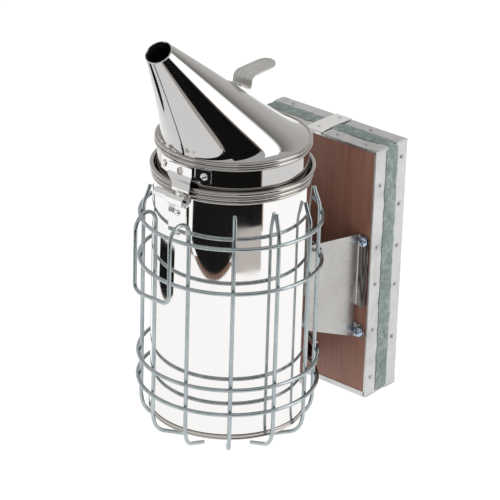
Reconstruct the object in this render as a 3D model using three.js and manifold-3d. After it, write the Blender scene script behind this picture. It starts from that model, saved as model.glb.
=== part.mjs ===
// Bee smoker: a steel fire can with a hinged spouted lid, a wire heat guard and spring-return bellows.
// Millimetres, +Z up. -Y is the spout and hinge side, +Y the bellows side.
// Heights of the can, lid, guard and bellows are measured from the can's lower edge; the whole
// assembly is then lifted onto its wire feet.

import * as THREE from 'three';
import { mergeVertices } from 'three/addons/utils/BufferGeometryUtils.js';
import Module from 'manifold-3d';

const wasm = await Module();
wasm.setup();

// ---- driving dimensions ----
const GAP = 0.3;                      // clearance kept between neighbouring pieces

const CAN = { radius: 50, wall: 0.8, height: 171.5, floor: 2, panHeight: 3.6 };
const RIM = { bead: 162.3, ledge: 166.3, flare: 52.8, beadRadius: 52.2, throat: 47.2 };
const LID = { skirt: 47.4, skirtBottom: 168.1, bead: 184.2, beadTop: 191.2, wall: 0.6 };
const CONE = { radius: 47.6, base: 187.7, mouthY: -70.4, mouthZ: 260.6, mouthRadius: 8.6, tilt: 34 };
const SPOUT = { shrink: 0.935, lean: 1.188, rise: 1.333, turn: 1.176 };  // how fast each changes upwards
const HINGE = { y: -57.5, z: 164.2, pin: 1.5 };
const RIVET = { radius: 2.4, length: 1.6, bearing: 19.5, lidLevel: 178, canLevels: [151, 137] };
const TAB = { width: 15, thickness: 1, y: 7, foot: 215.5, top: 227 };

const WIRE = 1.3;                     // radius of the guard wire
const GUARD = { upright: 55.3, turn: -2, count: 12, rings: [135.4, 105.4, 39, 21.7] };
const FEET = { knee: -7, kneeRadius: 48.5, tip: -14.6, tipRadius: 31, flat: 0.9 };

const GRATE = { radius: 46.5, level: 30, thickness: 1, hole: 3 };
const TUBE = { radius: 6.5, wall: 0.8, level: 11, start: 47.5, end: 72 };

const BOARD = { half: 50.8, bottom: -6.3, top: 167.1, thickness: 12 };
const BELLOWS = { front: 79, back: 110.5 };
const TRIM = 0.6;                     // thickness of the tin edge strips
const BRACKET = { half: 34.8, splay: 0.16, sheet: 0.8, top: 111, bottomFront: 51, bottomBack: 35 };
const LUG = { reach: 8, gapBottom: 45, gapTop: 57.5 };   // the bracket's lugs, above and below a gap
const SCREWS = [[45.3, 104], [45, 39.5]];
const STRAP = { half: 6.5, thickness: 0.7, fold: 1.6 };

const LEFT_RIGHT = [-1, 1];
const floorZ = FEET.tip - FEET.flat;

// ---- colours ----
const steel = new THREE.MeshStandardMaterial({ color: 0xd8d8da, roughness: 0.12, metalness: 1 });
const brushed = new THREE.MeshStandardMaterial({ color: 0xa9a59c, roughness: 0.35, metalness: 1 });
const zinc = new THREE.MeshStandardMaterial({ color: 0xa9bcc2, roughness: 0.35, metalness: 0.9 });
const tin = new THREE.MeshStandardMaterial({ color: 0xc4c6c4, roughness: 0.28, metalness: 1 });
const wood = new THREE.MeshStandardMaterial({ color: 0x9a6a55, roughness: 0.6, metalness: 0 });
const leather = new THREE.MeshStandardMaterial({ color: 0x9db8a6, roughness: 0.7, metalness: 0 });

const smoker = new THREE.Group();
const radians = THREE.MathUtils.degToRad;
const V = (x, y, z) => new THREE.Vector3(x, y, z);

function add(name, geometry, material) {
  const mesh = new THREE.Mesh(geometry, material);
  mesh.name = name;
  smoker.add(mesh);
  return mesh;
}

// ---- geometry helpers ----
function toSolid(geometry) {
  const bare = geometry.clone();
  bare.deleteAttribute('normal');
  bare.deleteAttribute('uv');
  const merged = mergeVertices(bare, 1e-4);
  const mesh = new wasm.Mesh({
    numProp: 3,
    vertProperties: new Float32Array(merged.attributes.position.array),
    triVerts: new Uint32Array(merged.index.array),
  });
  return new wasm.Manifold(mesh);
}

function toGeometry(solid) {
  const mesh = solid.getMesh();
  const geometry = new THREE.BufferGeometry();
  geometry.setAttribute('position', new THREE.BufferAttribute(new Float32Array(mesh.vertProperties), 3));
  geometry.setIndex(new THREE.BufferAttribute(new Uint32Array(mesh.triVerts), 1));
  return geometry;
}

function cut(geometry, ...tools) {
  return toGeometry(tools.reduce((solid, tool) => solid.subtract(toSolid(tool)), toSolid(geometry)));
}

function join(geometry, ...others) {
  return toGeometry(others.reduce((solid, other) => solid.add(toSolid(other)), toSolid(geometry)));
}

function common(geometry, other) {
  return toGeometry(toSolid(geometry).intersect(toSolid(other)));
}

function box(x, y, z) {
  const geometry = new THREE.BoxGeometry(x[1] - x[0], y[1] - y[0], z[1] - z[0]);
  return geometry.translate((x[0] + x[1]) / 2, (y[0] + y[1]) / 2, (z[0] + z[1]) / 2);
}

function rod(radius, length, axis, centre, sides = 16) {
  const geometry = new THREE.CylinderGeometry(radius, radius, length, sides);
  if (axis === 'x') geometry.rotateZ(Math.PI / 2);
  if (axis === 'z') geometry.rotateX(Math.PI / 2);
  return geometry.translate(...centre);
}

// A turned piece about the can's axis, from a closed outline of [radius, height] pairs.
function turned(outline, segments = 48) {
  const points = [...outline, outline[0]].map(([r, z]) => new THREE.Vector2(r, z));
  return new THREE.LatheGeometry(points, segments).rotateX(Math.PI / 2);
}

// A bent sheet: a side view in the YZ plane, extruded from x0 to x1.
function sideView(outline, x0, x1) {
  const shape = new THREE.Shape(outline.map(([y, z]) => new THREE.Vector2(y, z)));
  const geometry = new THREE.ExtrudeGeometry(shape, { depth: x1 - x0, bevelEnabled: false });
  return geometry.rotateY(Math.PI / 2).rotateX(Math.PI / 2).translate(x0, 0, 0);
}

// A flat outline in the XY plane, extruded from z0 to z1.
function planView(shape, z0, z1) {
  return new THREE.ExtrudeGeometry(shape, { depth: z1 - z0, bevelEnabled: false }).translate(0, 0, z0);
}

// A sheet curved round the can's axis, centred on the direction that middle gives in degrees from +X.
function curvedSheet(radius, thickness, middle, halfAngle, z0, z1) {
  const shape = new THREE.Shape();
  const from = radians(middle - halfAngle);
  const to = radians(middle + halfAngle);
  shape.absarc(0, 0, radius + thickness, from, to, false);
  shape.absarc(0, 0, radius, to, from, true);
  shape.closePath();
  const settings = { depth: z1 - z0, bevelEnabled: false, curveSegments: 12 };
  return new THREE.ExtrudeGeometry(shape, settings).translate(0, 0, z0);
}

// The outline of a strip of even thickness that follows a centre line.
function strip(centre, thickness) {
  const line = centre.map(([a, b]) => new THREE.Vector2(a, b));
  const side = (sign) => line.map((p, i) => {
    const before = line[Math.max(i - 1, 0)];
    const after = line[Math.min(i + 1, line.length - 1)];
    const along = after.clone().sub(before).normalize();
    return [p.x - sign * along.y * thickness / 2, p.y + sign * along.x * thickness / 2];
  });
  return [...side(-1), ...side(1).reverse()];
}

// Points of an arc in a plane, angles in degrees.
function arc(centre, radius, from, to, steps) {
  return Array.from({ length: steps + 1 }, (_, i) => {
    const angle = radians(from + (to - from) * i / steps);
    return [centre[0] + radius * Math.cos(angle), centre[1] + radius * Math.sin(angle)];
  });
}

// A wire's route: straight between its points, one ring of the wire at each.
class Route extends THREE.Curve {
  constructor(points) {
    super();
    this.points = points;
  }

  getPoint(t, target = new THREE.Vector3()) {
    const last = this.points.length - 1;
    const place = Math.min(Math.max(t, 0), 1) * last;
    const index = Math.min(Math.floor(place), last - 1);
    return target.lerpVectors(this.points[index], this.points[index + 1], place - index);
  }

  getUtoTmapping(u) {
    return u;
  }
}

// Rounds each inner corner of a route with a short arc.
function rounded(corners, bend, steps = 3) {
  const points = [corners[0]];
  for (let i = 1; i < corners.length - 1; i += 1) {
    const corner = corners[i];
    const into = corners[i - 1].clone().sub(corner);
    const out = corners[i + 1].clone().sub(corner);
    const reach = Math.min(bend, into.length() * 0.45, out.length() * 0.45);
    const start = corner.clone().addScaledVector(into.normalize(), reach);
    const end = corner.clone().addScaledVector(out.normalize(), reach);
    const curve = new THREE.QuadraticBezierCurve3(start, corner, end);
    points.push(...curve.getPoints(steps));
  }
  points.push(corners.at(-1));
  return points;
}

function wire(points, radius = WIRE, sides = 8) {
  const section = new THREE.Shape();
  section.absarc(0, 0, radius, 0, 2 * Math.PI);
  const route = new Route(points);
  return new THREE.ExtrudeGeometry(section, {
    curveSegments: sides / 2,
    steps: points.length - 1,
    extrudePath: route,
    bevelEnabled: false,
  });
}

// A closed skin through rings of equal point counts; the last ring joins the first.
function closedRings(rings) {
  const around = rings[0].length;
  const positions = rings.flat().flatMap((p) => [p.x, p.y, p.z]);
  const index = [];
  for (let i = 0; i < rings.length; i += 1) {
    const next = (i + 1) % rings.length;
    for (let j = 0; j < around; j += 1) {
      const k = (j + 1) % around;
      index.push(i * around + j, i * around + k, next * around + k);
      index.push(i * around + j, next * around + k, next * around + j);
    }
  }
  const geometry = new THREE.BufferGeometry();
  geometry.setAttribute('position', new THREE.Float32BufferAttribute(positions, 3));
  geometry.setIndex(index);
  return geometry;
}

// ---- fire can ----
function canBody() {
  const inner = CAN.radius - CAN.wall;
  const shell = turned([
    [inner, CAN.panHeight + GAP],
    [CAN.radius, CAN.panHeight + GAP],
    [CAN.radius, RIM.bead],
    [RIM.beadRadius - 0.5, RIM.bead],
    [RIM.beadRadius, RIM.bead + 1],
    [RIM.beadRadius, RIM.bead + 2.8],
    [RIM.beadRadius - 0.6, RIM.ledge],
    [RIM.throat + 1.2, RIM.ledge],
    [RIM.throat + 1.2, RIM.ledge + 1.4],
    [RIM.flare - 0.6, CAN.height - 3],
    [RIM.flare, CAN.height - 2],
    [RIM.flare, CAN.height - 0.4],
    [RIM.flare - 0.4, CAN.height],
    [RIM.flare - 0.9, CAN.height - 0.4],
    [RIM.throat + 1.6, RIM.ledge + 2.4],
    [RIM.throat, RIM.ledge + 1.3],
    [RIM.throat, RIM.ledge - 0.2],
    [inner, RIM.ledge - 2.4],
  ], 52);
  const airHole = rod(TUBE.radius + GAP, 20, 'y', [0, CAN.radius, TUBE.level], 24);
  return cut(shell, airHole);
}

function canBottom() {
  const edge = CAN.radius + 0.5;
  return turned([
    [0, CAN.floor],
    [CAN.radius - 2, CAN.floor],
    [CAN.radius - 1, 0],
    [edge, 0],
    [edge, CAN.panHeight],
    [CAN.radius - 1.6, CAN.panHeight],
    [CAN.radius - 2, CAN.floor + 0.8],
    [0, CAN.floor + 0.8],
  ], 48);
}

// The grate keeps the fuel above the air inlet and lifts out of the can.
function fireGrate() {
  const disc = rod(GRATE.radius, GRATE.thickness, 'z', [0, 0, GRATE.level], 32);
  const holes = [rod(GRATE.hole, 6, 'z', [0, 0, GRATE.level], 8)];
  for (const [radius, count] of [[15, 6], [30, 10]]) {
    for (let i = 0; i < count; i += 1) {
      const angle = 2 * Math.PI * i / count;
      const centre = [radius * Math.cos(angle), radius * Math.sin(angle), GRATE.level];
      holes.push(rod(GRATE.hole, 6, 'z', centre, 8));
    }
  }
  const legFoot = CAN.floor + 0.8 + GAP;
  const legs = [30, 150, 270].map((angle) => {
    const leg = box([38, 39], [-4, 4], [legFoot, GRATE.level]);
    return leg.rotateZ(radians(angle));
  });
  return join(cut(disc, ...holes), ...legs);
}

function airInletTube() {
  const centre = [0, (TUBE.start + TUBE.end) / 2, TUBE.level];
  const outer = rod(TUBE.radius, TUBE.end - TUBE.start, 'y', centre, 24);
  const bore = rod(TUBE.radius - TUBE.wall, 60, 'y', [0, TUBE.end, TUBE.level], 24);
  return cut(outer, bore);
}

// ---- lid ----
function lidCollar() {
  const inner = LID.skirt - LID.wall;
  return turned([
    [inner, LID.skirtBottom],
    [LID.skirt, LID.skirtBottom],
    [LID.skirt, LID.bead],
    [49.4, LID.bead],
    [50, LID.bead + 1],
    [49.9, LID.bead + 2],
    [49.4, LID.bead + 2.7],
    [50.2, LID.bead + 3.4],
    [50.5, LID.bead + 4.2],
    [50.1, LID.bead + 5],
    [49.5, LID.bead + 5.5],
    [50.2, LID.bead + 6.1],
    [50.1, LID.bead + 6.9],
    [49.6, LID.beadTop],
    [48.9, LID.beadTop],
    [48.4, LID.bead + 4],
    [48.4, LID.bead + 1.2],
    [inner, LID.bead + 0.6],
  ], 48);
}

// One cross-section of the spout: circles that shrink, lean and move forward from base to mouth.
function coneRing(s, inset, count = 40) {
  const radius = CONE.radius + (CONE.mouthRadius - CONE.radius) * s ** SPOUT.shrink - inset;
  const y = CONE.mouthY * s ** SPOUT.lean;
  const z = CONE.base + (CONE.mouthZ - CONE.base) * s ** SPOUT.rise;
  const tilt = radians(CONE.tilt) * s ** SPOUT.turn;
  return Array.from({ length: count }, (_, i) => {
    const angle = 2 * Math.PI * i / count;
    const side = radius * Math.sin(angle);
    return V(radius * Math.cos(angle), y + side * Math.cos(tilt), z + side * Math.sin(tilt));
  });
}

function lidCone() {
  const stations = [0, 0.06, 0.13, 0.22, 0.34, 0.48, 0.64, 0.8, 0.92, 1];
  const lowered = (inset) => coneRing(0, inset).map((p) => p.setZ(CONE.base - 1.2));
  const outside = [lowered(0), ...stations.map((s) => coneRing(s, 0))];
  const inside = [...stations.map((s) => coneRing(s, LID.wall)).reverse(), lowered(LID.wall)];
  return closedRings([...outside, ...inside]);
}

function thumbTab() {
  const bend = 5;
  const centreLine = [
    [TAB.y - 9.5, TAB.foot + 7.7],
    [TAB.y - 1.5, TAB.foot + 2.2],
    [TAB.y, TAB.foot + 2.6],
    [TAB.y, TAB.top - bend],
    ...arc([TAB.y + bend, TAB.top - bend], bend, 180, 90, 4).slice(1),
    [TAB.y + 15, TAB.top - 0.3],
    [TAB.y + 23, TAB.top + 0.2],
    [TAB.y + 27, TAB.top + 1.6],
  ];
  const sheet = sideView(strip(centreLine, TAB.thickness), -TAB.width / 2, TAB.width / 2);
  const plan = new THREE.Shape();
  const tip = TAB.y + 27 - TAB.width / 2;
  plan.moveTo(-TAB.width / 2, TAB.y - 12);
  plan.lineTo(TAB.width / 2, TAB.y - 12);
  plan.lineTo(TAB.width / 2, tip);
  plan.absarc(0, tip, TAB.width / 2, 0, Math.PI);
  const cookie = planView(plan, TAB.foot - 10, TAB.top + 10);
  return common(sheet, cookie);
}

// ---- lid hinge ----
// A strap on the skirt carries a tongue that steps over the rim and wraps loosely round the pin.
function lidHingeLeaf() {
  const lower = 173;
  const upper = LID.bead - GAP;
  const strap = curvedSheet(LID.skirt + GAP, 0.8, -90, 25, lower, upper);
  const front = -LID.skirt - 1.4;
  const steps = [
    [front, upper - 0.6],
    [front, 176.5],
    [front - 1.2, 174.2],
    [-53.6, 172.8],
    [-54.9, 170.6],
  ];
  const curl = arc([HINGE.y, HINGE.z], 4, 55, -230, 14);
  const tongue = sideView(strip([...steps, ...curl], 1), -9.5, 15);
  const keep = join(
    box([-9.5, 9.5], [-60, -45], [171, 186]),
    box([-1, 13], [-70, -50], [150, 172]),
  );
  return join(strap, common(tongue, keep));
}

function canHingeLeaf() {
  const face = -CAN.radius - GAP - 0.5;
  const lower = sideView(strip([[face, 129], [face, 157]], 0.9), -7.3, 7.3);
  const rise = [
    [face, 150],
    [face, HINGE.z - 5],
    [face - 1.4, HINGE.z - 3.1],
    [HINGE.y + 1.4, HINGE.z - 2.3],
  ];
  const curl = arc([HINGE.y, HINGE.z], 2.3, -50, -330, 12);
  const knuckle = sideView(strip([...rise, ...curl], 0.9), -13, -1.6);
  return join(lower, knuckle);
}

function rivet(x, y, z) {
  return rod(RIVET.radius, RIVET.length, 'y', [x, y, z], 14);
}

// ---- wire guard ----
function uprightAngles() {
  return Array.from({ length: GUARD.count }, (_, i) => -15 + GUARD.turn + 30 * i);
}

// The corners of one upright in its own radial plane, from its tip against the can to its foot.
function uprightCorners() {
  return [
    [CAN.radius + WIRE + GAP, 153.5],
    [GUARD.upright - 2.6, 148.5],
    [GUARD.upright, 141],
    [GUARD.upright, 5],
    [GUARD.upright - 1.6, -1.5],
    [FEET.kneeRadius + 1, FEET.knee + 0.2],
    [FEET.tipRadius, FEET.tip],
  ];
}

// Angles are counted from -Y, positive towards +X.
function radial(angle, radius, z) {
  return V(radius * Math.sin(radians(angle)), -radius * Math.cos(radians(angle)), z);
}

// The underside of each foot is flat, where it stands on the floor.
function flattened(geometry) {
  return cut(geometry, box([-100, 100], [-100, 100], [floorZ - 10, floorZ]));
}

function guardWire(angle) {
  const corners = uprightCorners().map(([radius, z]) => radial(angle, radius, z));
  return flattened(wire(rounded(corners, 5, 2)));
}

function guardRing(level) {
  return new THREE.TorusGeometry(GUARD.upright + 2 * WIRE + GAP, WIRE, 8, 36).translate(0, 0, level);
}

// Two front uprights share one wire: it loops over at the top, comes down outside and crosses below,
// which makes the hook that hangs the smoker on a hive box.
function guardHook(leftAngle, rightAngle) {
  const loop = { top: 150, reach: -72.6, low: 100 };
  const foot = (angle) => uprightCorners().slice(3).map(([radius, z]) => radial(angle, radius, z));
  const arch = (angle, x) => {
    const inner = radial(angle, GUARD.upright, 0);
    const middle = (inner.y + loop.reach) / 2;
    const radius = (inner.y - loop.reach) / 2;
    return arc([middle, loop.top - radius], radius, 0, 180, 8).map(([y, z], i) => {
      return V(inner.x + (x - inner.x) * i / 8, y, z);
    });
  };
  const left = rounded([radial(leftAngle, GUARD.upright, 120), ...foot(leftAngle)], 5, 2).reverse();
  const right = rounded([radial(rightAngle, GUARD.upright, 120), ...foot(rightAngle)], 5, 2);
  const cross = rounded([
    V(-15, loop.reach, 120),
    V(-15, loop.reach, loop.low),
    V(13.5, loop.reach, loop.low),
    V(13.5, loop.reach, 120),
  ], 5);
  const middle = [...arch(leftAngle, -15), ...cross, ...arch(rightAngle, 13.5).reverse()];
  return flattened(wire([...left, ...middle, ...right]));
}

// ---- bellows ----
function screwShanks(y) {
  return LEFT_RIGHT.flatMap((side) => SCREWS.map(([x, z]) => rod(1.5 + GAP, 40, 'y', [side * x, y, z], 12)));
}

// A saddle round the can's back, two wings and two pairs of flanges that screw to the front board.
function bellowsBracket() {
  const { half, splay, sheet, top } = BRACKET;
  const saddleRadius = CAN.radius + GAP;
  const spread = THREE.MathUtils.radToDeg(Math.asin(half / (saddleRadius + sheet)));
  const saddle = curvedSheet(saddleRadius, sheet, 90, spread, 55, top - 4);
  const face = BELLOWS.front - GAP;
  const wingStart = Math.sqrt(saddleRadius ** 2 - (half - sheet) ** 2) + 0.1;
  const halfAt = (y) => half + splay * (y - wingStart);
  const pieces = LEFT_RIGHT.flatMap((side) => {
    const ends = side > 0 ? [half - sheet, half] : [-half, -half + sheet];
    const wing = sideView([
      [wingStart, BRACKET.bottomFront],
      [face, BRACKET.bottomBack],
      [face, top - 3],
      [wingStart, top],
    ], ...ends);
    wing.applyMatrix4(new THREE.Matrix4().makeShear(0, 0, side * splay, 0, 0, 0));
    wing.translate(-side * splay * wingStart, 0, 0);
    const [near, out] = [halfAt(face) - sheet, halfAt(face) + LUG.reach];
    const across = side > 0 ? [near, out] : [-out, -near];
    const upper = box(across, [face - sheet, face], [LUG.gapTop, top - 3]);
    const lower = box(across, [face - sheet, face], [BRACKET.bottomBack, LUG.gapBottom]);
    return [wing, upper, lower];
  });
  const slot = 2 * (WIRE + GAP);
  const ringRadius = GUARD.upright + 2 * WIRE + GAP;
  const ringY = Math.sqrt(ringRadius ** 2 - half ** 2);
  const ringSlots = GUARD.rings.slice(1, 3).flatMap((level) => LEFT_RIGHT.map((side) => {
    const middle = side * (halfAt(ringY) - sheet / 2);
    return box([middle - 2, middle + 2], [ringY - slot, ringY + slot], [level - slot / 2, level + slot / 2]);
  }));
  return cut(join(saddle, ...pieces), ...ringSlots, ...screwShanks(face));
}

function bracketScrew(x, z) {
  const head = BELLOWS.front - 2 * GAP - BRACKET.sheet;
  const pan = turned([[0, 0], [3.4, 0], [3.4, 0.8], [2.6, 1.8], [0, 2.2]], 16).rotateX(Math.PI / 2);
  const shank = rod(1.5, 10, 'y', [0, 4.9, 0], 12);
  const slotFloor = -1.2;
  const slots = [
    box([-2, 2], [-3, slotFloor], [-0.4, 0.4]),
    box([-0.4, 0.4], [-3, slotFloor], [-2, 2]),
  ];
  return cut(join(pan, shank), ...slots).translate(x, head, z);
}

function board(y0, y1, holes) {
  return cut(box([-BOARD.half, BOARD.half], [y0, y1], [BOARD.bottom, BOARD.top]), ...holes);
}

// Tin strips on a board's four edges, each short of the corners so that they don't meet.
function edgeStrips(name, y0, y1) {
  const inner = BOARD.half + GAP;
  const outer = inner + TRIM;
  const low = BOARD.bottom - GAP;
  const high = BOARD.top + GAP;
  add(`${name}_trim_top`, box([-outer, outer], [y0, y1], [high, high + TRIM]), tin);
  add(`${name}_trim_bottom`, box([-outer, outer], [y0, y1], [low - TRIM, low]), tin);
  for (const side of LEFT_RIGHT) {
    const label = side > 0 ? 'right' : 'left';
    const x = side > 0 ? [inner, outer] : [-outer, -inner];
    add(`${name}_trim_${label}`, box(x, [y0, y1], [low + GAP, high - GAP]), tin);
  }
}

// The leather is one sleeve between the boards, bellied outwards all round.
function bellowsLeather(y0, y1) {
  const half = BOARD.half - 0.2;
  const bottom = BOARD.bottom + 0.3;
  const top = BOARD.top - 1.8;
  const corner = 6;
  const loop = (grow) => {
    const reach = corner + grow;
    const turn = (x, z, from) => arc([x, z], reach, from, from + 90, 4);
    return [
      ...turn(half - corner, top - corner, 0),
      ...turn(-half + corner, top - corner, 90),
      ...turn(-half + corner, bottom + corner, 180),
      ...turn(half - corner, bottom + corner, 270),
    ].reverse();
  };
  const steps = 6;
  const rings = [];
  for (const thickness of [0, -1.2]) {
    const layer = Array.from({ length: steps + 1 }, (_, i) => {
      const bulge = 2.6 * Math.sin(Math.PI * i / steps) + thickness;
      const y = y0 + (y1 - y0) * i / steps;
      return loop(bulge).map(([x, z]) => V(x, y, z));
    });
    rings.push(...(thickness === 0 ? layer : layer.reverse()));
  }
  return closedRings(rings);
}

// A flat coil between the boards pushes them apart.
function bellowsSpring(y0, y1) {
  const coil = { radius: 17, wire: 0.8, turns: 2.5, level: 70 };
  const steps = 50;
  const low = y0 + coil.wire + 0.1;
  const high = y1 - coil.wire - 0.1;
  const points = Array.from({ length: steps + 1 }, (_, i) => {
    const angle = 2 * Math.PI * coil.turns * i / steps;
    const y = low + (high - low) * i / steps;
    return V(coil.radius * Math.cos(angle), y, coil.level + coil.radius * Math.sin(angle));
  });
  return wire(points, coil.wire, 6);
}

// A band over both boards, folded down at its front end.
function topStrap() {
  const under = BOARD.top + 2 * GAP + TRIM;
  const over = under + STRAP.thickness;
  const face = BELLOWS.front - GAP;
  return sideView([
    [face - STRAP.thickness, under - STRAP.fold],
    [face, under - STRAP.fold],
    [face, under],
    [BELLOWS.back - 0.5, under],
    [BELLOWS.back - 0.5, over],
    [face - STRAP.thickness, over],
  ], -STRAP.half, STRAP.half);
}

// ---- assembly ----
add('can_body', canBody(), steel);
add('can_bottom', canBottom(), steel);
add('fire_grate', fireGrate(), tin);
add('air_inlet_tube', airInletTube(), tin);

add('lid_collar', lidCollar(), steel);
add('lid_cone', lidCone(), steel);
add('thumb_tab', thumbTab(), brushed);

add('lid_hinge_leaf', lidHingeLeaf(), steel);
add('can_hinge_leaf', canHingeLeaf(), steel);
add('hinge_pin', rod(HINGE.pin, 28, 'x', [0.5, HINGE.y, HINGE.z], 14), zinc);
for (const side of LEFT_RIGHT) {
  const label = side > 0 ? 'right' : 'left';
  const out = LID.skirt + 2 * GAP + RIVET.length;
  const head = rivet(0, -out, RIVET.lidLevel).rotateZ(side * radians(RIVET.bearing));
  add(`lid_rivet_${label}`, head, steel);
}
const leafFace = CAN.radius + GAP + 0.95;
RIVET.canLevels.forEach((level, i) => {
  const head = rivet(0, -leafFace - GAP - RIVET.length / 2, level);
  add(i === 0 ? 'can_rivet_upper' : 'can_rivet_lower', head, steel);
});

GUARD.rings.forEach((level, i) => add(`guard_ring_${i + 1}`, guardRing(level), zinc));
const [hookLeft, hookRight, ...others] = uprightAngles();
add('guard_hook', guardHook(hookLeft, hookRight), zinc);
others.forEach((angle, i) => add(`guard_wire_${i + 1}`, guardWire(angle), zinc));

const frontInner = BELLOWS.front + BOARD.thickness;
const backInner = BELLOWS.back - BOARD.thickness + 0.5;
const airHole = rod(TUBE.radius, 60, 'y', [0, BELLOWS.front, TUBE.level], 20);
add('bellows_bracket', bellowsBracket(), steel);
for (const side of LEFT_RIGHT) {
  SCREWS.forEach(([x, z], i) => {
    const label = `${i === 0 ? 'upper' : 'lower'}_${side > 0 ? 'right' : 'left'}`;
    add(`bracket_screw_${label}`, bracketScrew(side * x, z), zinc);
  });
}
add('front_board', board(BELLOWS.front, frontInner, [airHole, ...screwShanks(BELLOWS.front)]), wood);
add('back_board', board(backInner, BELLOWS.back, []), wood);
edgeStrips('front', BELLOWS.front, frontInner);
edgeStrips('back', backInner, BELLOWS.back);
add('bellows_leather', bellowsLeather(frontInner + GAP, backInner - GAP), leather);
add('bellows_spring', bellowsSpring(frontInner, backInner), zinc);
add('top_strap', topStrap(), steel);

// The origin is on the floor under the middle of the whole smoker.
const frontEdge = CONE.mouthY - CONE.mouthRadius * Math.cos(radians(CONE.tilt));
const middle = (frontEdge + BELLOWS.back) / 2;
smoker.position.set(0, -middle, -floorZ);

const root = new THREE.Group();
root.add(smoker);
export default root;
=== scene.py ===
"""Bee smoker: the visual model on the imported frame, in metres.

Lengths written as plain numbers in the sub-part functions are millimetres in the can's own frame:
x to the right, y back from the can's axis, z up from the can's lower edge. at() puts them in place.
"""
from math import asin, atan2, cos, degrees, dist, exp, hypot, pi, radians, sin, sqrt

import bmesh
import bpy
import numpy as np
from mathutils import Matrix, Vector, noise


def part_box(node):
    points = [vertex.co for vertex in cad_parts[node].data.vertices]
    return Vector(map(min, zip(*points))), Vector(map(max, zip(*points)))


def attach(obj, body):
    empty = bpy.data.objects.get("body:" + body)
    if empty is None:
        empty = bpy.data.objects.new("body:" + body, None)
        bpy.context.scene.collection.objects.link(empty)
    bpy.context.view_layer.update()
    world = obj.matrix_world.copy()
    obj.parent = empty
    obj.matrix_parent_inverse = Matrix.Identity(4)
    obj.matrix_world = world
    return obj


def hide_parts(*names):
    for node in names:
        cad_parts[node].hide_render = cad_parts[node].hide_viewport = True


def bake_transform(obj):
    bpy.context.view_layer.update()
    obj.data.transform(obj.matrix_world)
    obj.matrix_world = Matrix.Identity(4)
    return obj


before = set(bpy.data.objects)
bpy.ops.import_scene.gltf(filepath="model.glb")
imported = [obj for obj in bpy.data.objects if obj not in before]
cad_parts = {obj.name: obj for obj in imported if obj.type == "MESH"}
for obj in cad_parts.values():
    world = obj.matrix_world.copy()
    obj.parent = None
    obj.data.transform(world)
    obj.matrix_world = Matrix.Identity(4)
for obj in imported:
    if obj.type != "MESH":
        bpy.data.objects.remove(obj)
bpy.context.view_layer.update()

# ---- places taken from the frame ----
CAN_LOW, CAN_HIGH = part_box("can_body")
AXIS_Y = (CAN_LOW[1] + CAN_HIGH[1]) / 2
BASE_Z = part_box("can_bottom")[0][2]
MM = 0.001


def local(point):
    """A point of the frame in the can's own millimetres."""
    return np.array([point[0], point[1] - AXIS_Y, point[2] - BASE_Z]) / MM


def at(x, y, z):
    """A point given in the can's own millimetres, in the frame."""
    return Vector((x * MM, AXIS_Y + y * MM, BASE_Z + z * MM))


def local_box(node):
    low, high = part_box(node)
    return local(low), local(high)


def middle(node):
    return sum(local_box(node)) / 2


BODY, LID, REAR = "can", "lid", "rear_bellows_board"

# ---- driving dimensions, in the can's millimetres ----
CAN_RADIUS = 50.0
RIM_BEAD = 162.3
RIM_TOP = local(CAN_HIGH)[2]
SKIRT_RADIUS = 47.4
COLLAR_LOW = local_box("lid_collar")[0][2]
LID_BEAD = 184.2
CONE_RADIUS, CONE_BASE = 47.6, 187.7
MOUTH_Y, MOUTH_Z, MOUTH_RADIUS, MOUTH_TILT = -70.4, 260.6, 8.6, 34.0
SHRINK, LEAN, RISE, TURN = 0.935, 1.188, 1.333, 1.176  # exponents: how the spout changes up to its mouth
SEAM_DRIFT, SEAM_STEPS = 12.0, 3        # degrees it wanders to the right, and points across it painted black as shade in its groove
PIN_LOW, PIN_HIGH = local_box("hinge_pin")
PIN_Y, PIN_Z = middle("hinge_pin")[1:]

WIRE, UPRIGHT = 1.3, 55.3               # the wire's radius, and how far out its middle stands
BEARINGS = [30 * i - 17 for i in range(12)]
# an upright's bends as (radius, height), from its tip under the rim to the end of its foot
BENDS = [(CAN_RADIUS + WIRE + 0.05, 153.5), (UPRIGHT - 2.6, 148.5), (UPRIGHT, 141), (UPRIGHT, 5),
         (UPRIGHT - 1.6, -1.5), (49.5, -6.8), (31.0, -14.15)]
RING_LEVELS = [middle(f"guard_ring_{i}")[2] for i in (1, 2, 3, 4)]

FRONT_LOW, FRONT_HIGH = local_box("front_board")
BACK_LOW = local_box("back_board")[0]
STRAP_LOW, STRAP_HIGH = local_box("top_strap")
BRACKET_SHEET, WING_NEAR = 0.8, 34.8    # WING_NEAR is half the width across the wings at the can
LUG_REACH, LUG_GAP = 8.0, (45.0, 57.5)  # how far out the lugs go, and the heights between them

SIDES = (("left", -1), ("right", 1))
SCREW_TURNS = {"upper_left": 70, "upper_right": 55, "lower_left": 35, "lower_right": 20}  # in degrees
BOARDS = (("front", BODY), ("back", REAR))

# ---- the photographer's place: degrees, metres and millimetres of lens ----
VIEW_AZIMUTH, VIEW_ELEVATION, VIEW_ROLL = 40.2, 24.56, 1.73
VIEW_TARGET, VIEW_DISTANCE, VIEW_LENS = (0.0063, -0.0050, 0.1228), 1.7744, 201.6


# ---- mesh helpers ----
def link_object(name, data):
    piece = bpy.data.objects.new(name, data)
    bpy.context.scene.collection.objects.link(piece)
    return piece


def add_object(name, mesh, material, body, *nodes, sharp=35.0):
    """A piece that rides on a body, or on none, and stands for the nodes named."""
    mesh.name = name
    piece = link_object(name, mesh)
    if not mesh.materials:
        mesh.materials.append(material)
    mesh.shade_smooth()
    mesh.set_sharp_from_angle(angle=radians(sharp))
    if body:
        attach(piece, body)
    if nodes:
        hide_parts(*nodes)
    return piece


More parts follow.
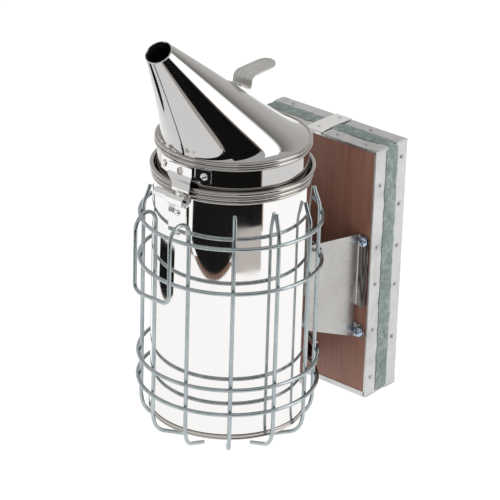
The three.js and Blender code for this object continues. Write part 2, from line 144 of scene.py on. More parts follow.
def make_mesh(points, faces):
    """A mesh with its faces turned outwards."""
    mesh = bpy.data.meshes.new("mesh")
    mesh.from_pydata([tuple(p) for p in points], [], faces)
    work = bmesh.new()
    work.from_mesh(mesh)
    bmesh.ops.recalc_face_normals(work, faces=work.faces)
    work.to_mesh(mesh)
    work.free()
    mesh.update()
    return mesh


def ring_skin(rings, loop=False):
    """A skin through rings of equal length, with closed ends or with its last ring joined to the first."""
    count = len(rings[0])
    points = [p for ring in rings for p in ring]
    faces = []
    for i in range(len(rings) if loop else len(rings) - 1):
        j = (i + 1) % len(rings)
        for k in range(count):
            m = (k + 1) % count
            faces.append((i * count + k, i * count + m, j * count + m, j * count + k))
    if not loop:
        faces.append(tuple(reversed(range(count))))
        faces.append(tuple(range((len(rings) - 1) * count, len(rings) * count)))
    return make_mesh(points, faces)


def radial(bearing, radius, z):
    """A point at a bearing in degrees from the front, positive to the right."""
    angle = radians(bearing)
    return at(radius * sin(angle), -radius * cos(angle), z)


def turned(outline, steps=224):
    """A closed outline of (radius, height) turned about the can's axis."""
    return ring_skin([[radial(360 * i / steps, r, z) for r, z in outline] for i in range(steps)], loop=True)


def swept(outline, centre, spread, steps):
    """An outline of (radius, height) turned about the can's axis to each side of a bearing."""
    rings = []
    for i in range(steps + 1):
        bearing = centre - spread + 2 * spread * i / steps
        rings.append([radial(bearing, r, z) for r, z in outline])
    return ring_skin(rings)


def spokes(centre, side, other, radius, count):
    """A circle of frame points about a centre, in the plane of two directions."""
    turns = [2 * pi * k / count for k in range(count)]
    return [centre + (side * cos(turn) + other * sin(turn)) * radius * MM for turn in turns]


def tube(path, radius, sides=14, closed=False):
    """A round wire along a path of frame points, with its section carried along without twisting."""
    count = len(path)
    tangents = []
    for i in range(count):
        before = path[i - 1] if (i or closed) else path[0]
        after = path[(i + 1) % count] if (i < count - 1 or closed) else path[-1]
        tangents.append((after - before).normalized())
    side = tangents[0].orthogonal().normalized()
    rings = []
    for point, tangent in zip(path, tangents):
        side = (side - tangent * side.dot(tangent)).normalized()
        rings.append(spokes(point, side, tangent.cross(side), radius, sides))
    return ring_skin(rings, loop=closed)


def rounded(corners, bend, steps=6):
    """A route of frame points with each inner corner rounded over bend millimetres."""
    points = [corners[0]]
    for before, corner, after in zip(corners, corners[1:], corners[2:]):
        into, out = before - corner, after - corner
        reach = min(bend * MM, into.length * 0.45, out.length * 0.45)
        start, end = corner + into.normalized() * reach, corner + out.normalized() * reach
        for i in range(steps + 1):
            t = i / steps
            points.append(start * (1 - t) ** 2 + corner * 2 * t * (1 - t) + end * t * t)
    points.append(corners[-1])
    return points


def arc(centre, radius, start, end, steps):
    """Points of an arc in a plane, angles in degrees."""
    points = []
    for i in range(steps + 1):
        angle = radians(start + (end - start) * i / steps)
        points.append((centre[0] + radius * cos(angle), centre[1] + radius * sin(angle)))
    return points


def fillet(corners, bend, steps=5):
    """A plane outline with its inner corners rounded."""
    points = rounded([Vector((a * MM, b * MM, 0)) for a, b in corners], bend, steps)
    return [(p.x / MM, p.y / MM) for p in points]


def rectangle(a0, b0, a1, b1):
    return [(a0, b0), (a1, b0), (a1, b1), (a0, b1)]


def mirrored(outline, side):
    return [(side * a, b) for a, b in outline]


def run_lengths(line):
    """The distance along a plane line to each of its points."""
    return np.cumsum([0] + [dist(a, b) for a, b in zip(line, line[1:])])


def points_at(shares, line):
    """The points at the given shares of a plane line's length."""
    lengths = run_lengths(line)
    return list(zip(*(np.interp(shares * lengths[-1], lengths, [p[k] for p in line]) for k in (0, 1))))


def ribbon(centre_line, widths, thickness, across=8):
    """A bent sheet along a centre line of (y, z); widths(share) gives its left and right x there."""
    line = [Vector((0, y, z)) for y, z in centre_line]
    rings = []
    for i, point in enumerate(line):
        along = (line[min(i + 1, len(line) - 1)] - line[max(i - 1, 0)]).normalized()
        normal = Vector((1, 0, 0)).cross(along) * thickness / 2
        left, right = widths(i / (len(line) - 1))
        xs = [left + (right - left) * k / across for k in range(across + 1)]
        over, under = point + normal, point - normal
        rings.append([at(x, over.y, over.z) for x in xs] + [at(x, under.y, under.z) for x in reversed(xs)])
    return ring_skin(rings)


def plate(outlines, thickness, place, edge=0.12):
    """A flat sheet with rounded edges, cut to plane outlines in millimetres, with holes inside the first."""
    curve = bpy.data.curves.new("outline", "CURVE")
    curve.dimensions = "2D"
    curve.fill_mode = "BOTH"
    curve.extrude = (thickness / 2 - edge) * MM
    curve.bevel_depth = edge * MM
    curve.bevel_resolution = 2
    curve.offset = -edge * MM
    for outline in outlines:
        spline = curve.splines.new("POLY")
        spline.points.add(len(outline) - 1)
        for spot, (a, b) in zip(spline.points, outline):
            spot.co = (a * MM, b * MM, 0, 1)
        spline.use_cyclic_u = True
    helper = link_object("outline", curve)
    mesh = evaluated_mesh(helper)
    bpy.data.objects.remove(helper)
    bpy.data.curves.remove(curve)
    mesh.transform(place)
    mesh.materials.clear()
    return mesh


def circle(a, b, radius, steps=32):
    return arc((a, b), radius, 0, 360 - 360 / steps, steps - 1)


def plane_xz(y):
    """Turns a plane outline's (a, b) into (x, z) at a given y."""
    return Matrix.Translation(at(0, y, 0)) @ Matrix.Rotation(pi / 2, 4, "X")


def plane_yz(x, lean=0.0):
    """Turns a plane outline's (a, b) into (y, z) at a given x, which may grow with y."""
    turn = Matrix(((lean, 0, 1, 0), (1, 0, 0, 0), (0, 1, 0, 0), (0, 0, 0, 1)))
    return Matrix.Translation(at(x, 0, 0)) @ turn


def cut(piece, tool_mesh):
    """Cuts a closed tool mesh out of a piece for good."""
    tool = link_object("tool", tool_mesh)
    modifier = piece.modifiers.new("cut", "BOOLEAN")
    modifier.operation = "DIFFERENCE"
    modifier.solver = "EXACT"
    modifier.object = tool
    done, old = evaluated_mesh(piece), piece.data
    piece.modifiers.clear()
    piece.data = done
    bpy.data.meshes.remove(old)
    bpy.data.objects.remove(tool)


def evaluated_mesh(piece):
    """A copy of a piece's mesh with its modifiers applied."""
    bpy.context.view_layer.update()
    return bpy.data.meshes.new_from_object(piece.evaluated_get(bpy.context.evaluated_depsgraph_get()))


def soften(piece, width, segments=2):
    """Rounds a piece's edges by a width in millimetres."""
    bevel = piece.modifiers.new("edges", "BEVEL")
    bevel.width = width * MM
    bevel.segments = segments
    bevel.limit_method = "ANGLE"
    bevel.angle_limit = radians(40)


# ---- material helpers ----
def fill(node, **values):
    """Sets or links a node's inputs, called by their names with underscores for spaces."""
    for name, value in values.items():
        socket = node.inputs[name.replace("_", " ")]
        if isinstance(value, bpy.types.NodeSocket):
            node.id_data.links.new(value, socket)
        else:
            socket.default_value = value


class Look:
    """A Principled material and short calls for the nodes that shape it."""

    def __init__(self, name, colour, metallic, roughness):
        self.material = bpy.data.materials.new(name)
        self.material.use_nodes = True
        self.shader = self.material.node_tree.nodes["Principled BSDF"]
        fill(self.shader, Base_Color=(*colour, 1), Metallic=metallic, Roughness=roughness)
        self.place = self.node("TexCoord").outputs["Object"]

    def node(self, kind, **values):
        node = self.material.node_tree.nodes.new("ShaderNode" + kind)
        fill(node, **values)
        return node

    def noise(self, scale, detail=3.0, roughness=0.55, distortion=0.0, stretch=None):
        """Noise that runs long in the directions where stretch is small."""
        where = self.place
        if stretch:
            where = self.node("Mapping", Scale=stretch, Vector=where).outputs["Vector"]
        node = self.node("TexNoise", Scale=scale, Detail=detail, Roughness=roughness, Distortion=distortion,
                         Vector=where)
        return node.outputs["Fac"]

    def ramp(self, factor, *stops):
        node = self.node("ValToRGB", Fac=factor)
        while len(node.color_ramp.elements) < len(stops):
            node.color_ramp.elements.new(0.5)
        for element, (position, colour) in zip(node.color_ramp.elements, stops):
            element.position = position
            element.color = (*colour, 1)
        return node.outputs["Color"]

    def remap(self, factor, low, high, start=0.3, end=0.7):
        node = self.node("MapRange", Value=factor, From_Min=start, From_Max=end, To_Min=low, To_Max=high)
        return node.outputs["Result"]

    def add(self, a, b):
        node = self.node("Math")
        node.operation = "ADD"
        self.material.node_tree.links.new(a, node.inputs[0])
        self.material.node_tree.links.new(b, node.inputs[1])
        return node.outputs[0]

    def colour(self, factor, *stops):
        fill(self.shader, Base_Color=self.ramp(factor, *stops))

    def roughness(self, factor, low, high):
        fill(self.shader, Roughness=self.remap(factor, low, high))

    def bump(self, height, depth, strength=1.0):
        """Bumps of a given depth in millimetres, on top of any that came before."""
        node = self.node("Bump", Strength=strength, Distance=depth * MM, Height=height)
        normal = self.shader.inputs["Normal"]
        if normal.is_linked:
            fill(node, Normal=normal.links[0].from_socket)
        fill(self.shader, Normal=node.outputs["Normal"])


# ---- materials ----
def polished_steel(name, colour):
    """Mirror sheet: faint rolling waves, a few hairline scratches and a breath of haze."""
    look = Look(name, colour, 1.0, 0.05)
    haze = look.noise(60, 4)
    hairlines = look.noise(900, 2, stretch=(1, 1, 0.04))
    rough = look.add(look.remap(haze, 0.02, 0.07), look.remap(hairlines, 0.0, 0.05, 0.62, 0.75))
    fill(look.shader, Roughness=rough)
    look.bump(look.noise(22, 1), 0.05, 0.25)
    look.bump(hairlines, 0.004, 0.15)
    return look.material


def satin_sheet():
    """Bright sheet with a soft mill finish and fine scratches along its length."""
    look = Look("satin_sheet", (0.62, 0.605, 0.585), 1.0, 0.3)
    scratches = look.noise(500, 4, 0.7, stretch=(1, 0.05, 1))
    look.roughness(scratches, 0.22, 0.36)
    look.colour(look.noise(30, 3), (0.3, (0.42, 0.41, 0.4)), (0.7, (0.5, 0.49, 0.475)))
    look.bump(scratches, 0.006, 0.2)
    look.bump(look.noise(14, 1), 0.1, 0.25)
    return look.material


def painted_reflection_sheet():
    """Thin bright sheet with long dark streaks in its colour, painted reflections of dark surroundings."""
    look = Look("painted_reflection_sheet", (0.4, 0.38, 0.36), 1.0, 0.12)
    # painted reflections: the long dark streaks in this colour stand in for dark surroundings mirrored in the
    # lugs
    painted_reflections = look.noise(90, 1, 0.4, stretch=(1.6, 1, 0.22))
    look.colour(painted_reflections, (0.36, (0.42, 0.4, 0.38)), (0.46, (0.07, 0.06, 0.055)), (0.54, (0.3, 0.28, 0.26)),
                (0.6, (0.05, 0.045, 0.04)), (0.7, (0.5, 0.48, 0.46)))
    look.roughness(look.noise(60, 2), 0.08, 0.2)
    look.bump(painted_reflections, 0.1, 0.3)
    return look.material


def beaded_steel():
    """The turned and rolled steel of the rims, with fine turning lines."""
    look = Look("beaded_steel", (0.43, 0.405, 0.385), 1.0, 0.1)
    lines = look.noise(1400, 2, stretch=(0.05, 0.05, 1))
    look.roughness(look.noise(80, 3), 0.06, 0.15)
    look.bump(lines, 0.015, 0.3)
    return look.material


def brushed_steel():
    """Strip with fine lines along its length and a soft sheen."""
    look = Look("brushed_strip", (0.42, 0.405, 0.375), 1.0, 0.36)
    lines = look.noise(1600, 3, stretch=(1, 0.05, 0.05))
    look.colour(lines, (0.3, (0.46, 0.45, 0.42)), (0.7, (0.66, 0.645, 0.61)))
    look.roughness(lines, 0.28, 0.46)
    look.bump(lines, 0.02, 0.5)
    return look.material


def galvanised_wire():
    """Zinc-coated wire: blue-grey, slightly uneven, brighter where the coat has run."""
    look = Look("galvanised_wire", (0.4, 0.445, 0.46), 1.0, 0.24)
    runs = look.noise(120, 4, stretch=(1, 1, 0.35))
    look.colour(runs, (0.3, (0.34, 0.385, 0.4)), (0.55, (0.42, 0.465, 0.48)), (0.8, (0.5, 0.54, 0.55)))
    look.roughness(look.noise(300, 2), 0.17, 0.3)
    look.bump(look.noise(260, 2), 0.03, 0.25)
    return look.material


def tin_strip():
    """Thin bright tinplate: a soft grain, dull smears and shallow dents."""
    look = Look("tin_strip", (0.62, 0.62, 0.6), 1.0, 0.3)
    smears = look.noise(45, 5, 0.65, 0.6)
    grain = look.noise(900, 2, stretch=(0.15, 1, 0.15))
    look.colour(smears, (0.25, (0.42, 0.415, 0.41)), (0.5, (0.56, 0.56, 0.555)), (0.8, (0.66, 0.66, 0.66)))
    fill(look.shader, Roughness=look.add(look.remap(smears, 0.22, 0.36), look.remap(grain, 0.0, 0.08)))
    look.bump(look.noise(90, 2), 0.22, 0.5)
    look.bump(grain, 0.01, 0.3)
    return look.material


def stained_wood():
    """Reddish-brown stained board with fine vertical grain under a thin satin varnish."""
    look = Look("stained_wood", (0.22, 0.1, 0.07), 0.0, 0.45)
    fine = look.noise(950, 5, 0.6, stretch=(1, 1, 0.028))
    broad = look.noise(70, 3, 0.5, 0.4, stretch=(1, 1, 0.12))
    tone = look.ramp(fine, (0.28, (0.17, 0.068, 0.044)), (0.5, (0.275, 0.122, 0.083)),
                     (0.75, (0.37, 0.185, 0.132)))
    shade = look.ramp(broad, (0.3, (0.205, 0.086, 0.058)), (0.7, (0.32, 0.15, 0.105)))
    half = look.remap(look.noise(40, 2), 0.35, 0.6)
    mixed = look.node("MixRGB", Fac=half, Color1=tone, Color2=shade)
    fill(look.shader, Base_Color=mixed.outputs["Color"])
    look.roughness(fine, 0.34, 0.55)
    look.bump(fine, 0.05, 0.35)
    fill(look.shader, Coat_Weight=0.12, Coat_Roughness=0.3)
    return look.material


def green_leather():
    """Pale sage leathercloth with a pebbled grain and fine creases: darker down in the creases as painted
    shade, paler on the ridges as chalky wear.
    """
    look = Look("green_leathercloth", (0.3, 0.4, 0.345), 0.0, 0.55)
    pebbles = look.node("TexVoronoi", Scale=900, Vector=look.place).outputs["Distance"]
    creases = look.noise(160, 6, 0.7, 1.2)
    # painted shade: the colour follows the crease bumps and is dark in their hollows; the paler ridges are
    # chalky wear
    look.colour(creases, (0.28, (0.09, 0.123, 0.11)), (0.5, (0.19, 0.24, 0.22)), (0.72, (0.36, 0.395, 0.38)))
    look.roughness(creases, 0.45, 0.7)
    look.bump(creases, 0.5, 0.6)
    look.bump(pebbles, 0.12, 0.4)
    return look.material


def blued_zinc():
    """Bright zinc plating with a cold blue cast, for the screws."""
    look = Look("blued_zinc", (0.5, 0.58, 0.7), 1.0, 0.12)
    look.colour(look.noise(300, 2), (0.3, (0.34, 0.44, 0.6)), (0.7, (0.66, 0.72, 0.8)))
    look.roughness(look.noise(500, 2), 0.08, 0.2)
    return look.material


def soot_and_shade_steel():
    """The inside of the lid and can: steel under a dull black film of soot, and painted shade down the cone's
    seam groove.
    """
    look = Look("soot_and_shade_steel", (0.02, 0.02, 0.02), 0.3, 0.7)
    film = look.noise(90, 4)
    look.colour(film, (0.35, (0.008, 0.008, 0.008)), (0.75, (0.035, 0.033, 0.031)))
    look.roughness(film, 0.6, 0.85)
    look.bump(film, 0.2, 0.4)
    return look.material


STEEL = polished_steel("polished_steel", (0.84, 0.83, 0.82))
BRACKET_STEEL = satin_sheet()
LID_STEEL = polished_steel("polished_steel_lid", (0.52, 0.51, 0.5))
# the lugs' sheet carries painted reflections as dark streaks in its colour
LUG_STEEL = painted_reflection_sheet()
BEADED = beaded_steel()
BRUSHED = brushed_steel()
ZINC = galvanised_wire()
TIN = tin_strip()
WOOD = stained_wood()
NAIL = polished_steel("nail_steel", (0.5, 0.49, 0.48))
LEATHER = green_leather()
BLUED = blued_zinc()
SOOT_AND_SHADE = soot_and_shade_steel()


def split_inside(mesh, inside, material):
    """Gives the faces for which inside(centre in the can's millimetres, normal) is true a second material."""
    mesh.materials.append(material)
    for polygon in mesh.polygons:
        if inside(local(polygon.center), polygon.normal):
            polygon.material_index = len(mesh.materials) - 1


def faces_axis(centre, normal):
    """Whether a face looks towards the can's axis."""
    return centre[0] * normal.x + centre[1] * normal.y < -0.2 * hypot(centre[0], centre[1])


def tube_bore():
    """The air tube's level and radius."""
    low, high = local_box("air_inlet_tube")
    return (low[2] + high[2]) / 2, (high[2] - low[2]) / 2


# ---- fire can ----
def rim_outline():
    """The outside of the rim from the wall upwards: two rolled beads and a thick curled lip."""
    lip = RIM_TOP - 2.6
    return [
        (CAN_RADIUS, RIM_BEAD - 0.4),
        *arc((CAN_RADIUS + 0.1, RIM_BEAD + 0.75), 1.0, -80, 75, 8),
        (CAN_RADIUS + 0.5, RIM_BEAD + 1.9),
        *arc((CAN_RADIUS + 0.3, RIM_BEAD + 3.3), 1.35, -70, 75, 10),
        (CAN_RADIUS + 0.35, RIM_BEAD + 4.8),
        *arc((CAN_RADIUS + 0.65, lip), 1.5, -80, 190, 18),
    ]


def can_shell():
    """The thin wall and its rim, sooted inside, with the air tube's hole at the back."""
    wall = 0.6
    inner = [
        (48.4, RIM_BEAD + 5.4),
        (47.5, RIM_BEAD + 4.8),
        (47.4, RIM_BEAD + 4.0),
        (48.6, RIM_BEAD + 2.0),
        (CAN_RADIUS - wall, RIM_BEAD - 1.0),
    ]
    foot = local(CAN_LOW)[2]
    levels = [foot + (RIM_BEAD - 4 - foot) * i / 14 for i in range(15)]
    wall_out = [(CAN_RADIUS, z) for z in levels]
    wall_in = [(CAN_RADIUS - wall, z) for z in reversed(levels)]
    mesh = turned([*wall_out, *rim_outline(), *inner, *wall_in])
    mesh.materials.append(STEEL)
    split_inside(mesh, lambda c, n: c[2] > RIM_BEAD, BEADED)
    split_inside(mesh, lambda c, n: faces_axis(c, n) and c[2] < RIM_BEAD + 5, SOOT_AND_SHADE)
    shell = add_object("can_shell", mesh, STEEL, BODY, "can_body", sharp=50)
    level, radius = tube_bore()
    cut(shell, tube([at(0, CAN_RADIUS - 10, level), at(0, CAN_RADIUS + 10, level)], radius + 0.1, 40))


def can_pan():
    """The bottom, crimped onto the can in two small beads."""
    edge = CAN_RADIUS + 0.5
    outline = [
        (0.01, 2.0), (44, 2.0), (47, 1.8), (48.6, 0.6), (49.4, 0.05), (50.0, 0.0),
        *arc((edge - 0.6, 0.7), 0.7, -70, 20, 6), (edge - 0.3, 1.5), (edge - 0.25, 2.2),
        *arc((edge - 0.6, 2.9), 0.7, -20, 80, 6), (49.2, 3.65),
        (48.9, 3.4), (48.2, 2.8), (0.01, 2.8),
    ]
    add_object("can_pan", turned(outline), BEADED, BODY, "can_bottom")


# ---- lid ----
def lid_collar():
    """The skirt that sits in the rim, and the stack of rolled beads above it."""
    inside = SKIRT_RADIUS - 0.6
    outline = [
        (inside, COLLAR_LOW), (SKIRT_RADIUS, COLLAR_LOW),
        *[(SKIRT_RADIUS, COLLAR_LOW + (LID_BEAD - 1.2 - COLLAR_LOW) * i / 8) for i in range(1, 8)],
        (SKIRT_RADIUS + 0.05, LID_BEAD - 1.3),
        *arc((47.95, LID_BEAD + 0.35), 1.5, -95, 72, 12),
        (48.45, LID_BEAD + 1.95),
        *arc((47.95, LID_BEAD + 3.2), 1.35, -65, 85, 11),
        (47.2, LID_BEAD + 4.5), (46.9, LID_BEAD + 3.2), (46.8, LID_BEAD + 0.6),
    ]
    mesh = turned(outline, 448)
    crumple_front(mesh)
    mesh.materials.append(LID_STEEL)
    split_inside(mesh, lambda c, n: c[2] > LID_BEAD - 1.3, BEADED)
    add_object("lid_collar_skin", mesh, LID_STEEL, LID, "lid_collar", sharp=60)


def crumple_front(mesh):
    """The beads are gathered into small folds at the front left, where the seam meets the collar."""
    for vertex in mesh.vertices:
        x, y, z = local(vertex.co)
        if z < LID_BEAD - 1.3:
            continue
        bearing = degrees(atan2(x, -y))
        reach = exp(-((bearing + 14) / 13) ** 2)
        if reach < 0.02:
            continue
        fold = noise.noise((bearing * 0.3, z * 0.5, 3.1))
        radius = hypot(x, y)
        scale = 1 + reach * (fold - 0.25) * 1.1 / radius
        vertex.co = at(x * scale, y * scale, z + reach * fold * 0.5)


def seam_height(distance):
    """The butt seam down the front: a narrow groove, distance in millimetres along the girth."""
    return -0.7 * exp(-(distance / 0.6) ** 2)


def crumple(distance, s):
    """Shallow folds where the sheet was gathered into the collar, to the left of the seam."""
    if distance > -3:
        return 0.0
    height = (MOUTH_Z - CONE_BASE) * s ** RISE
    reach = exp(-((distance + 14) / 9) ** 2) * exp(-(height / 6) ** 2)
    reach *= 1 - exp(-((distance + 3) / 4) ** 2)
    folds = noise.noise((distance * 0.11, height * 0.07, 2.0))
    return reach * folds * 1.5


def lid_spout():
    """The cone with its front seam, sooted inside and painted black as shade along the seam groove; its rings
    lie closer together near the base.
    """
    shares = [0.16 * (i / 26) ** 1.2 for i in range(26)] + [0.16 + 0.84 * i / 60 for i in range(61)]
    skirt = Vector((0, 0, 0.6 * MM))
    outside = [[p - skirt for p in spout_ring(0, 0)]] + [spout_ring(s, 0) for s in shares]
    inside = [spout_ring(s, 0.6) for s in reversed(shares)] + [[p - skirt for p in spout_ring(0, 0.6)]]
    mesh = ring_skin(outside + inside, loop=True)
    mesh.materials.append(LID_STEEL)
    mesh.materials.append(SOOT_AND_SHADE)
    count = len(outside[0])
    for polygon in mesh.polygons:
        # faces inside the cone take the soot black; faces along the seam groove take the same black as
        # painted shade
        from_seam = max(min(v % count, count - v % count) for v in polygon.vertices)
        if min(polygon.vertices) >= len(outside) * count or from_seam <= SEAM_STEPS:
            polygon.material_index = 1
    add_object("lid_spout", mesh, LID_STEEL, LID, "lid_cone", sharp=60)
    edge = [spout_point(2 * pi * i / 96, 1.0, 0.3) for i in range(96)]
    add_object("spout_edge", tube(edge, 0.45, 10, closed=True), LID_STEEL, LID)


def spout_point(angle, s, inset):
    """A point of the spout: angle in radians from the seam, s from 0 at the base to 1 at the mouth."""
    radius = CONE_RADIUS + (MOUTH_RADIUS - CONE_RADIUS) * s ** SHRINK - inset
    y = MOUTH_Y * s ** LEAN
    z = CONE_BASE + (MOUTH_Z - CONE_BASE) * s ** RISE
    tilt = radians(MOUTH_TILT) * s ** TURN
    reach = radius + 1.5 * exp(-(z - CONE_BASE) / 2.4)
    if inset == 0:
        reach += seam_height(angle * radius) + crumple(angle * radius, s)
    bearing = angle + radians(SEAM_DRIFT) * s
    forward = -reach * cos(bearing)
    return at(reach * sin(bearing), y + forward * cos(tilt), z + forward * sin(tilt))


def spout_ring(s, inset):
    """Points round the spout, close together across the front seam."""
    near, far, across = 14, 150, 0.06
    half = [across * i / near for i in range(near)]
    half += [across + (pi - across) * (i / far) ** 1.25 for i in range(far)]
    angles = half + [pi] + [-a for a in reversed(half[1:])]
    return [spout_point(angle, s, inset) for angle in angles]


def thumb_tab():
    """The lift: a strip that rises from the cone, bends back and ends in a round tip."""
    low, high = local_box("thumb_tab")
    half = (high[0] - low[0]) / 2
    foot, top, y0 = 215.5, high[2] - 2.1, 7.0
    bends = [(low[1], foot + 7.7), (y0 - 0.4, foot + 2.4), (y0 + 0.4, foot + 9), (y0 + 3.2, top - 0.7),
             (y0 + 12, top - 0.2), (y0 + 21, top + 0.1), (high[1], top + 1.7)]
    shares = np.concatenate([np.linspace(0, 0.8, 60), 1 - 0.2 * np.linspace(1, 0, 30)[1:] ** 1.6])
    line = points_at(shares, fillet(bends, 4.2, 7))
    lengths = run_lengths(line)

    def widths(share):
        left_over = lengths[-1] - lengths[round(share * (len(line) - 1))]
        reach = half if left_over > half else sqrt(max(half ** 2 - (half - left_over) ** 2, 0.04))
        return -reach, reach

    mesh = ribbon(line, widths, 1.0, 10)
    soften(add_object("thumb_lift", mesh, BRUSHED, LID, "thumb_tab"), 0.2)


# ---- lid hinge ----
def lid_strap():
    """The strap round the skirt that carries the hinge tongue."""
    outline = rectangle(SKIRT_RADIUS + 0.15, 173.2, SKIRT_RADIUS + 0.95, LID_BEAD - 1.6)
    soften(add_object("hinge_strap", swept(outline, 0, 25.0, 40), STEEL, LID), 0.15)


def lid_tongue():
    """The tongue steps over the rim, narrows and wraps loosely round the pin."""
    front = -SKIRT_RADIUS - 1.45
    run = fillet([(front, LID_BEAD - 2.2), (front, 176), (front - 1.6, 173.4), (-53.4, 172.4),
                  (-54.9, PIN_Z + 5.6)], 2.0, 5)
    curl = arc((PIN_Y, PIN_Z), 4.0, 50, -232, 44)
    line = run + curl
    neck = len(run) / len(line)             # the share of the line before the curl

    def widths(share):
        blend = min(max((share - 0.32 * neck) / (0.75 * neck), 0), 1)
        blend = blend * blend * (3 - 2 * blend)
        return -9.5 + 8.6 * blend, 9.5 + 3.3 * blend

    piece = add_object("lid_tongue", ribbon(line, widths, 1.0, 12), STEEL, LID, "lid_hinge_leaf")
    dimple = 178.2
    cut(piece, tube([at(0, -60, dimple), at(0, -SKIRT_RADIUS - 1.0, dimple)], 2.5, 32))
    soften(piece, 0.15)
    dome("tongue_dimple", at(0, front + 0.6, dimple), (0, -1, 0), 2.6, -0.9, BEADED, LID)


def can_leaf():
    """The leaf riveted to the can, with the knuckle that grips the pin at its left."""
    face = -CAN_RADIUS - 0.75
    low = local_box("can_hinge_leaf")[0][2]
    outline = [(-7.3, low + 2), (-6.3, low), (6.3, low), (7.3, low + 2), (7.3, 157.2), (6.4, 158.2),
               (-1.7, 158.2), (-7.3, 158.2)]
    add_object("can_leaf", plate([outline], 0.9, plane_xz(face)), STEEL, BODY, "can_hinge_leaf")
    bends = [(face, 150), (face, PIN_Z - 4.7), (face - 2.4, PIN_Z - 2.8), (PIN_Y + 1.5, PIN_Z - 2.3)]
    line = fillet(bends, 2, 5)
    curl = arc((PIN_Y, PIN_Z), 2.3, -52, -330, 30)
    knuckle = ribbon(line + curl, lambda share: (-12.0, -1.7), 0.9, 4)
    soften(add_object("can_knuckle", knuckle, STEEL, BODY), 0.12)


def hinge_pin():
    ends = [at(x, PIN_Y, PIN_Z) for x in (PIN_LOW[0], PIN_HIGH[0])]
    mesh = tube(ends, (PIN_HIGH[2] - PIN_LOW[2]) / 2, 24)
    soften(add_object("pin", mesh, ZINC, BODY, "hinge_pin"), 0.35, 3)


def dome(name, centre, outward, radius, height, material, body, *nodes):
    """A domed rivet or nail head that stands on a surface."""
    outward = Vector(outward).normalized()
    side = outward.orthogonal().normalized()
    other = outward.cross(side)
    profile = [(1.0, -0.6), (1.0, 0.12), (0.93, 0.38), (0.76, 0.68), (0.5, 0.9), (0.22, 0.99), (0.02, 1.0)]
    rings = [spokes(centre + outward * lift * height * MM, side, other, reach * radius, 24)
             for reach, lift in profile]
    add_object(name, ring_skin(rings), material, body, *nodes)


def hinge_rivets():
    for label, side in SIDES:
        outward = radial(19.5 * side, 1, 0) - at(0, 0, 0)
        centre = radial(19.5 * side, SKIRT_RADIUS + 1.1, 177.8)
        dome(f"skirt_rivet_{label}", centre, outward, 2.4, 1.3, STEEL, LID, f"lid_rivet_{label}")
    for label in ("upper", "lower"):
        centre = at(0, -CAN_RADIUS - 1.2, middle(f"can_rivet_{label}")[2])
        dome(f"leaf_rivet_{label}", centre, (0, -1, 0), 2.3, 1.3, STEEL, BODY, f"can_rivet_{label}")


# ---- wire guard ----
def guard_uprights():
    for i, bearing in enumerate(BEARINGS[2:], start=1):
        path = rounded([radial(bearing, r, z) for r, z in BENDS], 5.5, 8)
        add_object(f"upright_{i}", tube(path, WIRE), ZINC, BODY, f"guard_wire_{i}")


def guard_rings():
    radius = UPRIGHT + 2 * WIRE - 0.12
    for i, level in enumerate(RING_LEVELS, start=1):
        path = [radial(2 * k, radius, level) for k in range(180)]
        add_object(f"hoop_{i}", tube(path, WIRE, closed=True), ZINC, BODY, f"guard_ring_{i}")


def guard_hook():
    """Two front uprights in one wire, looped over outwards into a hook."""
    reach, top, low = local_box("guard_hook")[0][1] + WIRE, 150.0, 100.0
    ends = (-15.0, 13.5)
    feet, arches = [], []
    for bearing, x in zip(BEARINGS, ends):
        corners = [radial(bearing, UPRIGHT, 120)] + [radial(bearing, r, z) for r, z in BENDS[3:]]
        feet.append(rounded(corners, 5.5, 8))
        inner = local(radial(bearing, UPRIGHT, 0))
        centre, radius = (inner[1] + reach) / 2, (inner[1] - reach) / 2
        points = arc((centre, top - radius), radius, 0, 180, 20)
        arches.append([at(inner[0] + (x - inner[0]) * i / 20, y, z) for i, (y, z) in enumerate(points)])
    left, right = ends
    corners = ((left, 128), (left, low), (right, low), (right, 128))
    cross = rounded([at(x, reach, z) for x, z in corners], 6.5, 8)
    path = feet[0][::-1] + arches[0] + cross + arches[1][::-1] + feet[1]
    hook = add_object("hive_hook", tube(path, WIRE), ZINC, BODY, "guard_hook")
    hook.visible_glossy = False  # its small mirror images in the cone would look like marks


# ---- bracket ----
def bracket():
    """A saddle on the can, two wings that splay out to the board, and their screwed lugs."""
    low, high = local_box("bellows_bracket")
    inner, outer = CAN_RADIUS + 0.1, CAN_RADIUS + 0.9
    spread = degrees(asin(WING_NEAR / outer))
    saddle = swept(rectangle(inner, 55, outer, high[2] - 4), 180, spread, 48)
    add_object("bracket_saddle", saddle, BRACKET_STEEL, BODY, "bellows_bracket")
    for label, side in SIDES:
        bracket_wing(label, side, sqrt(outer ** 2 - WING_NEAR ** 2), low, high)
        bracket_lugs(label, side, low, high)


def bracket_wing(label, side, start, low, high):
    """A wing from its start at the can to the board, with slots for the two guard rings that cross it."""
    reach, face, top = high
    splay = (reach - LUG_REACH - WING_NEAR) / (face - start)
    ring_y = sqrt((UPRIGHT + 2 * WIRE) ** 2 - (WING_NEAR + 2) ** 2)
    slots = [circle(ring_y, level, 2.2, 20) for level in RING_LEVELS[1:3]]
    wing = [(start, 51), (face - 1.6, low[2]), (face - 1.6, top - 3), (start, top)]
    place = plane_yz(side * (WING_NEAR - BRACKET_SHEET / 2 - splay * start), side * splay)
    add_object(f"bracket_wing_{label}", plate([wing, *slots], BRACKET_SHEET, place, 0.1), BRACKET_STEEL, BODY)


